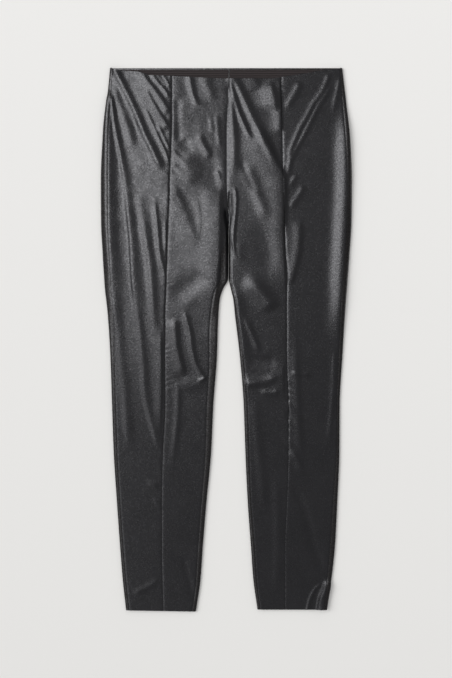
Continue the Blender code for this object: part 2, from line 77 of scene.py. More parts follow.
SEAM_DIP = 0.95
SEAM_DIP_WIDTH = 1.5
SEAM_CALF = (640.0, 730.0)  # below the knee the front seams sink less
SEAM_CALF_EASE = 0.5
CENTRE_DIP = 1.1
CENTRE_DIP_WIDTH = 3.6
SIDE_SEAM_DIP = 0.3
SIDE_SEAM_WIDTH = 1.7

EDGE_FALL = 1.0  # the top side sinks towards the leg's edges
EDGE_FALL_WIDTH = 2.8

CROTCH_EASE = 30.0  # above the crotch the centre seam ends over this length
LEGS_PART_EASE = 60.0  # below it the legs' inner edges begin over this length

# ---------------- mesh detail
CELL = 2.0  # mesh cell of the front panels and the facing
FINE_CELL = 1.0  # beside the seams
FINE_REACH = 7.0
GAUGE_DOWN = 200.0  # a front panel's width here sets its number of cells
BACK_CELL = 2.3
FLOOR_CELL = 3.4  # across the flat underside
ARC_STEPS = 9
STRIP_STEPS = 12
FLAT_KNOT = 0.5  # spacing of an inner edge's points while it lies on the surface
PATH_STEPS = 6  # points for each step of a fold's path
FOLD_REACH = 3.0  # a fold ends this many half widths from its crest
SHARP_ANGLE = math.radians(60)

# ---------------- the cloth's surface
# Scales are repeats for each metre, and depths are metres.
SHINE_TINT = (0.965, 0.965, 1.0, 1.0)
CLOUD_SCALE = 22.0
RUB_SCALE = 140.0
GLOSS_BELOW = 0.05
GLOSS_ABOVE = 0.06
SPECK_SCALE = 350.0
SPECK_RANGE = (0.3, 0.7)
SPECK_LEVELS = (0.36, 0.76)
PEBBLE_SCALE = 900.0
PEBBLE_SHARE = 0.45
GRAIN_SCALE = 420.0
GRAIN_STRENGTH = 0.35
GRAIN_DEPTH = 0.00035
DIMPLE_SCALE = 330.0
DIMPLE_DEPTH = 0.00012
# Painted shade: the near-black colour and the dulled shine laid into the crease between the legs.
PAINTED_SHADE_COLOR = (0.0035, 0.0035, 0.0040, 1.0)
PAINTED_SHADE_DULLING = 0.95
RIB_SCALE = 75.0
RIB_SHADES = (0.55, 1.45)
RIB_STRENGTH = 0.4
RIB_DEPTH = 0.0003

# ---------------- the photo's view, floor, lamps
# These are in metres, apart from pixels and the camera's own millimetres.
MM_PER_PIXEL = 1.78
IMAGE_WIDTH, IMAGE_HEIGHT = 452, 678
ORIGIN_PIXEL = (226.4, 339.7)  # where the leggings' origin lies in the photo's frame
CAMERA_SENSOR = 36.0
CAMERA_LENS = 66.0
CAMERA_REACH = 50.0
FLOOR_SIZE = 6.0
FLOOR_DROP = 0.0002
FLOOR_FADE = 0.6
# Painted light: the floor's colour runs from this darker tone at the hem end to the lighter one at the waist
# end.
FLOOR_SHADED_END = (0.775, 0.768, 0.752)
FLOOR_LIT_END = (0.845, 0.838, 0.822)
SHEEN_HEIGHT = 2.1
Lamp = namedtuple("Lamp", "name left right near far height radiance")
SHEEN_LAMPS = (
    Lamp("softbox", -1.30, -0.17, 0.05, 1.40, 1.6, 4.7),
    Lamp("wide_sheen", -4.0, 4.0, -4.0, 4.0, SHEEN_HEIGHT, 0.07),
    Lamp("calf_sheen", -4.0, 0.22, -4.0, -0.25, SHEEN_HEIGHT, 0.06),
    Lamp("upper_sheen", -4.0, 0.75, -0.45, 4.0, SHEEN_HEIGHT, 0.11),
    Lamp("low_sheen", -1.7, -0.60, -1.5, -0.1, 2.05, 1.15),
    Lamp("left_sheen", -4.0, -0.30, -4.0, 4.0, SHEEN_HEIGHT, 0.20),
    Lamp("far_sheen", -0.3, 1.6, 1.35, 2.6, SHEEN_HEIGHT, 2.0),
)
SIDE_LIGHT_FROM = (-2.0, 0.4, 1.5)
SIDE_LIGHT_ANGLE = math.radians(40.0)
SIDE_LIGHT_STRENGTH = 1.9
SURROUND_STRENGTH = 0.64

# ---------------- the outline and seams
Section = namedtuple("Section", "down outer_l seam_l inner_l inner_r seam_r outer_r")
SECTIONS = (
    Section(0, -207, -98, 5, 5, 98, 206),
    Section(42, -211, -98, 3, 3, 98, 211),
    Section(113, -219.5, -98, 0.5, 0.5, 99.5, 218.5),
    Section(200, -223.5, -101, 0.5, 0.5, 101, 223.5),
    Section(277, -223, -103.5, 4, 4, 104, 222.5),
    Section(326, -220.5, -105, 3.7, 4.3, 105.5, 219.5),
    Section(375, -217.5, -106.5, 3.2, 4.2, 108.5, 216),
    Section(395, -216, -107, -6.5, 8, 108, 214.5),
    Section(412, -214, -108, -11.5, 12, 107.5, 213),
    Section(440, -211, -109, -14, 15, 107.5, 211),
    Section(512, -206.5, -109.5, -16.5, 23.5, 107.5, 206.5),
    Section(600, -203.5, -109, -23, 30.5, 110.5, 201.5),
    Section(685, -200.5, -113, -27, 33.5, 110.5, 201),
    Section(770, -195, -114.5, -35, 37.5, 108, 197.5),
    Section(855, -189, -114.5, -42, 43.5, 104.5, 193),
    Section(911, -184.5, -113.5, -46, 47.5, 104.5, 187),
    Section(966, -178.5, -112, -54, 55, 104.5, 178.5),
)

Inset = namedtuple("Inset", "down side_l inseam_l inseam_r side_r")
INSETS = (
    Inset(0, 4, 14, 4, 4),
    Inset(60, 8, 14, 4, 7),
    Inset(110, 10, 14, 4, 8),
    Inset(200, 13, 14, 4, 9),
    Inset(340, 12.5, 14, 4, 9),
    Inset(412, 11, 13, 5, 9),
    Inset(466, 9, 15, 5.5, 8),
    Inset(555, 7, 12, 6.5, 6),
    Inset(640, 7, 11, 7, 5),
    Inset(770, 6, 9, 6, 8),
    Inset(855, 6, 8.5, 6.5, 9),
    Inset(966, 6, 7, 5, 6),
)

Dip = namedtuple("Dip", "x dip")
WAIST_DIPS = (
    Dip(-207, 1),
    Dip(-190, 4),
    Dip(-154, 7.5),
    Dip(-136, 13),
    Dip(-98, 14.5),
    Dip(-60, 16.5),
    Dip(5, 19),
    Dip(75, 19),
    Dip(98, 16.5),
    Dip(126, 12),
    Dip(145, 9),
    Dip(167, 5),
    Dip(206, 1),
)

Hem = namedtuple("Hem", "x down")
HEMS = (Hem(-178, 964), Hem(-54, 966), Hem(55, 962.5), Hem(178, 962.7))

# ---------------- the main folds
# One row for each ridge (height above 0) or trough (below 0).
Fold = namedtuple("Fold", "name height left right right_end fade_in fade_out path")
FOLDS = (
    # left outer panel: the side ridge, and the long ridges down the thigh
    Fold("side_ridge_l", 3.9, 7.4, 11, 20, 25, 170,
         ((-212, 35), (-213, 56), (-213, 83), (-213, 128), (-213, 181), (-213, 243), (-211, 297), (-208, 341),
          (-205, 386), (-201, 434), (-197, 493))),
    Fold("side_line_l", 1.7, 3.2, 3.5, 9, 20, 45,
         ((-206, 42), (-201, 78), (-197, 110), (-192, 137), (-187, 163), (-182, 199), (-180, 220))),
    Fold("thigh_ridge_l", 2.1, 4, 7, 16, 110, 70,
         ((-185, 163), (-180, 202), (-176, 243), (-173, 274), (-170, 306), (-168, 341), (-166, 377),
          (-162, 412), (-157, 457))),
    Fold("calf_line_l0", 1.3, 4.8, 8, 8, 50, 60,
         ((-164, 404), (-156, 457), (-152, 493), (-148, 533), (-146, 573), (-138, 612), (-126, 655),
          (-118, 688))),
    Fold("thigh_ridge_l2", 1.7, 6, 10, 8, 90, 120,
         ((-158, 204), (-153, 243), (-148, 274), (-143, 306), (-137, 341), (-134, 377), (-131, 421),
          (-127, 466), (-124, 510))),
    Fold("thigh_ridge_l3", 1.2, 5, 3.5, 5.5, 30, 50,
         ((-128, 227), (-125, 261), (-122, 291), (-120, 315), (-117, 338), (-110, 368), (-108, 395))),
    Fold("thigh_ridge_l4", 0.7, 3, 2, 2, 20, 20, ((-109, 266), (-108, 297), (-108, 334))),
    # left outer panel: drags from the hip and the waist down to the front seam
    Fold("hip_ridge_l", 2.3, 5.5, 7, 7, 0, 20,
         ((-198, 3), (-193, 15), (-180, 40), (-168, 65), (-156, 92), (-145, 119), (-133, 144), (-122, 167),
          (-113, 183))),
    Fold("hip_line_l", 0.9, 3.5, 3, 3, 15, 15,
         ((-145, 71), (-132, 99), (-122, 121), (-113, 140), (-106, 156), (-101, 172))),
    Fold("hip_line_l2", 0.7, 3, 2.5, 2.5, 10, 5, ((-124, 99), (-116, 113), (-109, 128), (-101, 145))),
    Fold("hip_ridge_l2", 1.2, 6, 5, 12, 20, 30,
         ((-201, 28), (-197, 42), (-193, 58), (-187, 76), (-181, 94), (-174, 115), (-168, 137), (-164, 154))),
    Fold("hip_hollow_l", -0.6, 9, 5, 5, 25, 15, ((-172, 78), (-165, 99), (-158, 119), (-151, 138))),
    Fold("hip_shelf_l", 1.3, 22, 4, 4, 18, 10,
         ((-145, 33), (-137, 51), (-129, 65), (-120, 80), (-111, 94), (-101, 110))),
    Fold("waist_ridge_l", 1.5, 10, 5, 5, 0, 10,
         ((-148, 13), (-138, 27), (-127, 41), (-116, 56), (-107, 71), (-100, 81))),
    Fold("waist_ridge_l2", 1.2, 4, 3.6, 3.6, 0, 8,
         ((-131, 13), (-124, 23), (-116, 32), (-109, 41), (-101, 53))),
    Fold("waist_ridge_l3", 0.8, 3.5, 2.6, 2.6, 0, 6, ((-112, 14), (-105, 25), (-100, 36))),
    Fold("waist_ridge_l3b", 0.6, 3, 2.4, 2.4, 0, 6, ((-122, 13), (-114, 23), (-106, 34))),
    # left inner panel
    Fold("waist_ridge_l4", 1.3, 5, 5.5, 5, 0, 15, ((-66, 15), (-63, 32), (-58, 51), (-49, 71))),
    Fold("waist_ridge_l4b", 1, 3.5, 19, 17, 0, 50,
         ((-95, 15), (-95, 39), (-94, 74), (-94, 113), (-94, 149))),
    Fold("waist_ridge_l5", 0.9, 9, 9, 9, 0, 20, ((-38, 17), (-32, 35), (-28, 51), (-26, 65))),
    Fold("belly_swell_l", 0.3, 12, 9, 10, 25, 15, ((-61, 64), (-54, 85), (-51, 106), (-52, 126))),
    Fold("belly_trough_l", -0.9, 8, 6, 6, 20, 20, ((-86, 49), (-86, 83), (-85, 113), (-83, 138))),
    Fold("belly_trough_l2", -1, 12, 6, 6, 10, 12, ((-77, 124), (-68, 138), (-61, 153))),
    Fold("belly_line_l", 0.6, 4, 5, 5, 20, 20, ((-30, 78), (-27, 99), (-24, 121))),
    Fold("belly_line_l2", 0.7, 5, 5, 4, 20, 15, ((-18, 78), (-15, 110), (-11, 145))),
    Fold("belly_ridge_l", 1.3, 8, 7, 5, 15, 12, ((-51, 115), (-43, 133), (-34, 149), (-27, 163))),
    Fold("belly_hollow_l", -1.5, 34, 11, 11, 60, 20,
         ((-49, 131), (-37, 149), (-28, 167), (-23, 185), (-21, 204), (-23, 224))),
    Fold("belly_swell_l2", 1.2, 16, 16, 16, 20, 25, ((-68, 145), (-67, 169), (-66, 192), (-68, 213))),
    Fold("belly_ridge_l2", 0.9, 6, 3, 3, 12, 15, ((-20, 177), (-14, 190), (-10, 206))),
    Fold("belly_line_l3", 0.5, 4, 4, 4, 6, 20, ((-97, 145), (-86, 158), (-74, 169), (-63, 177))),
    Fold("belly_line_l4", 0.5, 4, 4, 4, 6, 20, ((-97, 170), (-84, 181), (-70, 190))),
    Fold("inner_swell_l", 3.4, 34, 5, 5, 60, 90,
         ((-10, 202), (-12, 234), (-12, 279), (-13, 323), (-16, 359), (-19, 395), (-24, 427), (-28, 457))),
    Fold("inner_shelf_l", 1.3, 20, 7, 12, 20, 45,
         ((-95, 206), (-89, 224), (-81, 243), (-72, 265), (-64, 288), (-57, 311), (-52, 331))),
    Fold("inner_line_l", 0.3, 5, 3, 3, 15, 20, ((-54, 231), (-49, 252), (-47, 279), (-49, 309))),
    Fold("inner_hollow_l", -1.2, 15, 15, 14, 15, 25,
         ((-36, 364), (-52, 377), (-70, 389), (-86, 404), (-99, 420))),
    Fold("inner_hollow_l2", -0.5, 24, 18, 18, 20, 30,
         ((-65, 412), (-54, 425), (-47, 441), (-43, 462), (-43, 484))),
    # right inner panel: drags that fan out from the top of the centre seam
    Fold("centre_ridge_r", 1.5, 7, 4.5, 9, 25, 50,
         ((5, 39), (9, 65), (11, 92), (13, 119), (14, 145), (13, 172), (12, 199))),
    Fold("centre_line_r", 1.3, 2.4, 2.4, 2.4, 12, 30,
         ((14, 210), (17, 227), (17, 243), (16, 261), (14, 279), (12, 306), (14, 327), (17, 345))),
    Fold("centre_gap_r", -2.4, 2, 2, 2, 12, 10,
         ((6, 217), (6, 245), (5, 274), (4, 306), (3, 341), (4, 371))),
    Fold("fan_ridge_r", 1.6, 5, 5, 3.5, 0, 25,
         ((6, 19), (9, 35), (16, 58), (24, 83), (34, 106), (46, 131))),
    Fold("fan_ridge_r2", 1.7, 6, 7, 8, 0, 60,
         ((14, 21), (24, 40), (35, 64), (44, 83), (54, 104), (64, 126), (75, 147), (84, 167), (94, 190))),
    Fold("fan_swell_r", 3.9, 34, 7, 4, 40, 60,
         ((53, 99), (63, 122), (76, 147), (87, 169), (99, 192), (101, 217), (101, 249), (101, 281),
          (101, 309))),
    Fold("fan_ridge_r3", 0.9, 20, 8, 8, 0, 8, ((46, 10), (50, 24), (56, 40))),
    Fold("fan_swell_r2", 3.2, 20, 7, 7, 20, 20, ((74, 21), (81, 42), (85, 64), (83, 81))),
    Fold("front_seam_ridge_r", 2, 13, 3, 3, 15, 15,
         ((95, 17), (95, 42), (96, 67), (97, 96), (97, 121))),
    Fold("thigh_ridge_r", 1.35, 9, 11, 10, 22, 25,
         ((30, 170), (40, 193), (49, 215), (58, 234), (66, 254), (74, 275))),
    Fold("thigh_trough_r", -0.9, 6, 6, 6, 20, 20, ((22, 160), (33, 181), (43, 204), (53, 227))),
    Fold("front_seam_ridge_r2", 1.5, 20, 3, 3, 60, 60,
         ((98, 231), (99, 279), (101, 332), (103, 377), (104, 412))),
    Fold("crotch_ridge_r", 3.6, 13.5, 14, 12, 34, 18,
         ((26, 374), (40, 381), (53, 392), (65, 405), (77, 420), (85, 434))),
    Fold("inner_edge_r", 1.5, 3, 11, 11, 40, 30,
         ((11, 384), (18, 418), (23, 452), (29, 493), (32, 523))),
    Fold("inner_trough_r", -0.7, 20, 14, 14, 45, 40, ((58, 256), (67, 297), (74, 332), (81, 373))),
    Fold("crotch_line_r", 0.7, 8, 10, 12, 12, 18, ((22, 306), (22, 323), (22, 339), (22, 352))),
    # right outer panel: two long parallel drags from the hip, and the outer roll
    Fold("hip_ridge_r", 1, 5, 3.5, 3.5, 10, 25,
         ((184, 8), (177, 28), (168, 46), (155, 64), (143, 87), (131, 108), (122, 129), (114, 149),
          (110, 170))),
    Fold("hip_ridge_r2", 0.95, 4.5, 4, 4, 20, 18,
         ((187, 30), (176, 49), (164, 68), (154, 87), (143, 110), (133, 129), (121, 151), (113, 169),
          (109, 199))),
    Fold("hip_ridge_r3", 0.9, 4.5, 4.5, 4.5, 10, 30, ((202, 17), (198, 39), (193, 62), (187, 85))),
    Fold("waist_ridge_r", 1.1, 6, 6, 6, 10, 12, ((133, 24), (124, 42), (115, 58), (105, 74))),
    Fold("thigh_line_r", 0.9, 5, 5, 5, 10, 10, ((127, 188), (119, 201), (109, 215))),
    Fold("thigh_line_r3", 1, 6, 5, 5, 10, 10, ((139, 208), (131, 224), (121, 238), (113, 252))),
    Fold("outer_roll_r", 5.8, 16, 6, 7, 100, 150,
         ((215, 49), (215, 101), (215, 145), (215, 199), (213, 252), (210, 306), (207, 359), (205, 412),
          (201, 466), (198, 528))),
    Fold("thigh_line_r2", 1.3, 11, 6, 4, 20, 20,
         ((129, 266), (130, 299), (127, 332), (120, 363), (112, 391))),
    # knees, calves and hems
    Fold("knee_ridge_l", 1.4, 5, 5, 5, 26, 2,
         ((-77, 427), (-68, 457), (-64, 475), (-62, 493), (-59, 510), (-54, 528), (-47, 541), (-39, 555))),
    Fold("knee_line_l", 2.2, 10, 6.5, 5, 16, 18,
         ((-93, 444), (-91, 469), (-89, 493), (-84, 516), (-78, 537), (-75, 549))),
    Fold("knee_line_l2", 1, 6, 5, 6, 30, 90,
         ((-90, 551), (-86, 576), (-86, 599), (-88, 635), (-93, 679), (-100, 733))),
    Fold("calf_ridge_l", 1.3, 6.5, 10, 10, 60, 60,
         ((-205, 377), (-201, 412), (-196, 448), (-192, 484), (-189, 519), (-184, 555), (-180, 590),
          (-176, 644), (-172, 688))),
    Fold("calf_ridge_l2", 1.1, 10, 2, 2, 40, 60, ((-117, 457), (-116, 501), (-116, 590), (-119, 671))),
    Fold("knee_shelf_l", 0.8, 9, 16, 16, 22, 20, ((-88, 562), (-65, 564), (-47, 562), (-31, 555))),
    Fold("knee_tip_l", 1.2, 3.5, 3.5, 3.5, 5, 3, ((-52, 556), (-43, 555), (-35, 550))),
    Fold("knee_line_r", 1.4, 5, 6, 5, 30, 16, ((30, 437), (38, 457), (47, 480), (60, 509))),
    Fold("knee_swell_r", -1, 12, 6, 6, 15, 15, ((35, 519), (63, 521), (92, 521))),
    Fold("knee_tilt_r", 1.3, 20, 3, 3, 30, 30, ((100, 519), (100, 555), (101, 598))),
    Fold("knee_ridge_r", 1.5, 5.5, 11, 9, 12, 16,
         ((28, 562), (53, 562), (70, 560), (83, 554), (90, 544))),
    Fold("knee_ridge_r2", 1, 4, 6, 6, 8, 8, ((33, 567), (47, 566), (58, 569))),
    Fold("knee_ridge_r3", 1.1, 6, 5, 5, 12, 8, ((58, 578), (78, 580), (95, 578))),
    Fold("knee_ridge_r4", 1.2, 3.5, 3, 3, 10, 6, ((113, 544), (133, 546), (149, 548))),
    Fold("calf_line_l", 0.6, 6, 4, 4, 10, 10, ((-143, 735), (-131, 739), (-118, 744))),
    Fold("calf_line_l2", 0.5, 5, 4, 4, 10, 10, ((-132, 763), (-122, 774), (-113, 788))),
    Fold("hem_ridge_l", 0.9, 5, 5, 5, 15, 15, ((-168, 936), (-143, 925), (-118, 909))),
    Fold("hem_trough_l", -0.5, 6, 6, 6, 20, 10, ((-79, 861), (-68, 907), (-56, 954))),
    Fold("calf_ridge_r", 1.2, 7, 5, 5, 15, 20, ((115, 678), (127, 701), (138, 727))),
    Fold("seam_ridge_r", 1.15, 9, 5, 7, 95, 60,
         ((123, 452), (123, 501), (125, 564), (127, 608), (130, 662), (136, 715))),
    Fold("calf_ridge_r2", 0.9, 8, 8, 8, 40, 60, ((49, 580), (54, 644), (63, 733), (70, 804))),
    Fold("calf_ridge_r3", 0.9, 9, 8, 8, 50, 40, ((88, 715), (92, 804), (92, 884), (88, 946))),
    Fold("outer_line_r", 0.9, 5, 4, 4, 40, 40, ((192, 493), (191, 555), (186, 626), (181, 679))),
    Fold("calf_trough_r", -1.1, 8, 8, 8, 40, 30, ((113, 733), (138, 786), (156, 854), (176, 907))),
    Fold("hem_arc_r", 1.2, 3.4, 3.2, 3.2, 0, 10, ((144, 966), (149, 946), (158, 929), (170, 919))),
    Fold("hem_arc_r2", 4.7, 12, 7, 7, 0, 20, ((170, 966), (172, 946), (177, 929), (184, 907))),
    Fold("hem_line_r", 1, 3, 3, 3, 0, 10, ((163, 966), (166, 950), (171, 936))),
)

# Creases of the underside, which the photo hides: shallow, and uneven like the front's.
UNDER_LIMIT = 0.35
UNDER_SEAM_LIFT = 0.3
UNDER_SEAM_WIDTH = 2.0
UNDER_START = 40.0  # the waist's underside lies flat down to here
UNDER_EASE = 30.0
UNDER_FOLDS = (
    Fold("seat_l", 0.4, 6, 4, 6, 30, 60, ((-190, 60), (-160, 130), (-120, 205), (-70, 270))),
    Fold("seat_l2", 0.35, 5, 7, 5, 20, 40, ((-150, 40), (-118, 95), (-80, 150), (-40, 190))),
    Fold("seat_l3", 0.35, 4, 5, 5, 20, 50, ((-120, 215), (-75, 262), (-30, 290))),
    Fold("seat_r", 0.4, 5, 6, 4, 30, 50, ((186, 55), (152, 140), (108, 210), (60, 258))),
    Fold("seat_r2", 0.3, 6, 4, 6, 20, 40, ((128, 36), (92, 92), (52, 158), (30, 200))),
    Fold("seat_r3", 0.35, 4, 4, 6, 20, 40, ((140, 250), (90, 275), (40, 300))),
    Fold("thigh_l", 0.35, 6, 8, 6, 40, 90, ((-170, 240), (-150, 330), (-122, 430))),
    Fold("thigh_r", 0.35, 8, 6, 6, 40, 90, ((168, 250), (146, 350), (130, 450))),
    Fold("knee_l", 0.4, 5, 5, 5, 15, 25, ((-176, 520), (-130, 534), (-84, 528))),
    Fold("knee_l2", 0.35, 4, 5, 5, 15, 25, ((-150, 566), (-100, 580), (-56, 570))),
    Fold("knee_l3", 0.3, 4, 4, 4, 15, 25, ((-168, 612), (-128, 606), (-92, 618))),
    Fold("knee_r", 0.4, 5, 5, 5, 15, 25, ((64, 512), (112, 530), (166, 524))),
    Fold("knee_r2", 0.35, 5, 4, 4, 15, 25, ((70, 560), (118, 572), (158, 562))),
    Fold("calf_l", 0.3, 8, 6, 6, 40, 60, ((-150, 690), (-132, 780), (-118, 860))),
    Fold("calf_r", 0.3, 6, 8, 6, 40, 60, ((148, 700), (132, 800), (122, 880))),
)
# Painted shade in the crease between the legs, in rows laid out like folds; here a height of 1 is full
# painted shade.
PAINTED_CREASE_SHADES = (
    Fold("centre_painted_shade", 1.6, 3, 2.8, 3.4, 20, 10,
         ((-3, 243), (-2, 266), (1, 288), (2, 315), (3, 341), (3, 363), (4, 382))),
    Fold("centre_painted_shade_r", 1, 1.6, 1.6, 1.6, 14, 14,
         ((9, 213), (10, 234), (11, 256), (8, 274), (6, 291))),
)

Ripple = namedtuple("Ripple", "height length turn bend shift")
RIPPLES = (
    Ripple(0.13, 83, 12, 1.7, 0.4),
    Ripple(0.09, 47, 61, 1.3, 2.2),
    Ripple(0.07, 36, -38, 1.9, 4.1),
    Ripple(0.045, 22, 24, 1.4, 1.1),
    Ripple(0.035, 17, -67, 1.6, 5.3),
)

# The ripples are full above and left of this place, and faint elsewhere.
WORN_EDGE = (10.0, 400.0)
WORN_EASE = (50.0, 140.0)
SMOOTH_SHARE = 0.2
RIPPLE_BEND = 2.7  # a ripple's bends are this many of its lengths long

# Gathers along a front seam; the leg is the viewer's. Their spacing drifts and their
# height swells over a few pitches.
Pucker = namedtuple("Pucker", "leg start end ease height pitch slant reach_l reach_r")
PUCKERS = (
    Pucker("left", 0, 90, 15, 0.14, 7, 0.5, 5, 4),
    Pucker("left", 120, 270, 30, 0.26, 8.5, 0.6, 6, 12),
    Pucker("left", 340, 420, 20, 0.22, 9.5, -0.4, 7, 9),
    Pucker("left", 460, 640, 40, 0.2, 14, -0.5, 4, 9),
    Pucker("right", 0, 130, 20, 0.16, 8, 0.5, 5, 4),
    Pucker("right", 150, 300, 30, 0.22, 9, 0.6, 6, 6),
    Pucker("right", 530, 700, 20, 0.85, 19.5, 0.8, 4, 11),
    Pucker("left", 640, 966, 60, 0.1, 12, 0.5, 6, 5),
    Pucker("right", 700, 966, 60, 0.1, 12, 0.5, 5, 6),
)
Drift = namedtuple("Drift", "size pitches")
PUCKER_DRIFTS = (Drift(2.1, 3.3), Drift(1.3, 5.9))
PUCKER_LEAST = 0.65
PUCKER_SWELL = 0.35
PUCKER_SWELL_PITCHES = 4.4
PUCKER_SWELL_SHIFT = 1.0


# ---------------- small functions
def smooth_step(value):
    """0 to 1 with level ends."""
    t = np.clip(value, 0.0, 1.0)
    return t * t * (3 - 2 * t)


def smooth_curve(xs, ys):
    """A curve through the table's points that never overshoots between them."""
    xs = np.array(xs, float)
    ys = np.array(ys, float)
    step = np.diff(xs)
    slope = np.diff(ys) / step
    tangent = np.zeros_like(ys)
    tangent[0] = slope[0]
    tangent[-1] = slope[-1]
    for i in range(1, len(ys) - 1):
        if slope[i - 1] * slope[i] > 0:
            before = 2 * step[i] + step[i - 1]
            after = step[i] + 2 * step[i - 1]
            tangent[i] = (before + after) / (before / slope[i - 1] + after / slope[i])

    def at(x):
        x = np.clip(x, xs[0], xs[-1])
        i = np.clip(np.searchsorted(xs, x, side="right") - 1, 0, len(step) - 1)
        t = (x - xs[i]) / step[i]
        start = ys[i] + (tangent[i] * step[i] + 2 * ys[i]) * t
        end = ys[i + 1] * (3 - 2 * t) + tangent[i + 1] * step[i] * (t - 1)
        return start * (1 - t) ** 2 + end * t * t

    return at


def column(table, name, key="down"):
    """One column of a table as a smooth curve."""
    return smooth_curve([getattr(row, key) for row in table], [getattr(row, name) for row in table])


waist_dip = column(WAIST_DIPS, "dip", key="x")


def hem_down(x):
    """How far below the waist the hem lies."""
    return np.interp(x, [row.x for row in HEMS], [row.down for row in HEMS])


def to_y(x, down):
    """Row-frame y of a point; the hem's slant is shared out along the leg."""
    return LENGTH / 2 - down * hem_down(x) / LENGTH


def path_points(points):
    """Points along a smooth curve through a fold's own points."""
    pts = np.array(points, float)
    ends = np.vstack([2 * pts[0] - pts[1], pts, 2 * pts[-1] - pts[-2]])
    line = []
    for i in range(1, len(ends) - 2):
        before, start, end, after = ends[i - 1 : i + 3]
        for k in range(PATH_STEPS):
            t = k / PATH_STEPS
            line.append(0.5 * (2 * start + (end - before) * t
                               + (2 * before - 5 * start + 4 * end - after) * t**2
                               + (3 * start - before - 3 * end + after) * t**3))
    line.append(pts[-1])
    return np.array(line)


def path_lengths(line):
    return np.concatenate([[0.0], np.cumsum(np.hypot(*np.diff(line, axis=0).T))])


def add_fold(total, x, down, fold):
    """Adds one fold to the heights in total. Its half widths are those on the viewer's
    left and right of a crest whose path runs down the leg; the right one changes evenly
    from right to right_end."""
    line = path_points(fold.path)
    along = path_lengths(line)
    reach = FOLD_REACH * max(fold.left, fold.right, fold.right_end)
    near = (x > line[:, 0].min() - reach) & (x < line[:, 0].max() + reach)
    near &= (down > line[:, 1].min() - reach) & (down < line[:, 1].max() + reach)
    px = x[near]
    pd = down[near]
    best = np.full(px.shape, np.inf)
    place = np.zeros(px.shape)
    side = np.zeros(px.shape)
    for i in range(len(line) - 1):
        span = line[i + 1] - line[i]
        length = along[i + 1] - along[i]
        t = np.clip(((px - line[i][0]) * span[0] + (pd - line[i][1]) * span[1]) / length**2, 0, 1)
        gx = px - line[i][0] - t * span[0]
        gd = pd - line[i][1] - t * span[1]
        gap = np.hypot(gx, gd)
        closer = gap < best
        place = np.where(closer, along[i] + t * length, place)
        side = np.where(closer, span[1] * gx - span[0] * gd, side)
        best = np.minimum(best, gap)
    fade = smooth_step((along[-1] - place) / fold.fade_out)
    if fold.fade_in > 0:
        fade = fade * smooth_step(place / fold.fade_in)
    right = fold.right + (fold.right_end - fold.right) * place / along[-1]
    width = np.where(side > 0, right, fold.left)
    total[near] += fold.height * fade * np.exp(-((best / width) ** 2))


# ---------------- the leg
class Leg:
    """The lines of one leg. inward is +1 where the inner edge faces +x."""

    def __init__(self, tag, inward):
        self.inward = inward
        self.outer = column(SECTIONS, "outer_" + tag)
        self.seam = column(SECTIONS, "seam_" + tag)
        self.inner_line = column(SECTIONS, "inner_" + tag)
        self.side_inset = column(INSETS, "side_" + tag)
        self.inseam_inset = column(INSETS, "inseam_" + tag)

    def inner(self, down):
        """Inner outline, or this panel's side of the centre front seam."""
        return self.inner_line(down) - self.inward * SEAM_GAP / 2

    def side_seam(self, down):
        return self.outer(down) + self.inward * self.side_inset(down)

    def back_climb(self, down):
        """0 while the back's inner edge lies flat, 1 when it reaches its inseam on top."""
        return smooth_step((down - CLIMB_START) / (CLIMB_END - CLIMB_START))

    def back_end(self, down):
        """Arc from the floor to the back panel's inner end, round the leg's edge."""
        full = EDGE_ARC + self.inseam_inset(down) - EDGE_RADIUS - SEAM_GAP / 2
        return full * self.back_climb(down)

    def front_end(self, down):
        """The same arc to the front panel's inner end."""
        opened = smooth_step((down - ROLL_START) / (CROTCH - ROLL_START))
        rolled = EDGE_ARC - EDGE_RADIUS * ROLL_END_ANGLE * opened
        clear = self.back_end(down) + SEAM_GAP * (1 + self.gap_widening(down))
        return np.where(down < CROTCH, rolled, np.maximum(rolled, clear))

    def gap_widening(self, down):
        climb = self.back_climb(down)
        return 4 * climb * (1 - climb)

    def top_tangent(self, down):
        """x where the flat top turns into the inner roll."""
        turned = np.minimum((EDGE_ARC - self.front_end(down)) / EDGE_RADIUS, math.pi / 2)
        reach = np.where(down < CROTCH, EDGE_RADIUS * np.sin(np.clip(turned, 0, None)), EDGE_RADIUS)
        return self.inner(down) - self.inward * reach

    def front_inner_end(self, down):
        """Developed x of the front panel's inner end."""
        return self.top_tangent(down) + self.inward * (EDGE_ARC - self.front_end(down))


LEGS = {"left": Leg("l", 1), "right": Leg("r", -1)}


def hollow(gap, width):
    """1 in the middle of a soft groove, 0 away from it."""
    return np.exp(-((gap / width) ** 2))


def seam_dips(x, down):
    """The panels sink in a sharp groove where they are sewn together."""
    dips = np.zeros(x.shape)
    for leg in LEGS.values():
        flatter = 1 - SEAM_CALF_EASE * smooth_step((down - SEAM_CALF[0]) / (SEAM_CALF[1] - SEAM_CALF[0]))
        dips -= SEAM_DIP * flatter * np.exp(-np.abs(x - leg.seam(down)) / SEAM_DIP_WIDTH)
        dips -= EDGE_FALL * hollow(x - leg.outer(down), EDGE_FALL_WIDTH)
        legs_part = smooth_step((down - CROTCH) / LEGS_PART_EASE)
        dips -= SIDE_SEAM_DIP * hollow(x - leg.side_seam(down), SIDE_SEAM_WIDTH)
        inseam = leg.inner(down) - leg.inward * leg.inseam_inset(down)
        dips -= SIDE_SEAM_DIP * legs_part * hollow(x - inseam, SIDE_SEAM_WIDTH)
        dips -= EDGE_FALL * legs_part * hollow(x - leg.inner(down), EDGE_FALL_WIDTH)
    centre = LEGS["left"].inner_line(down)
    above_crotch = smooth_step((CROTCH - down) / CROTCH_EASE)
    dips -= CENTRE_DIP * above_crotch * np.exp(-np.abs(x - centre) / CENTRE_DIP_WIDTH)
    return dips


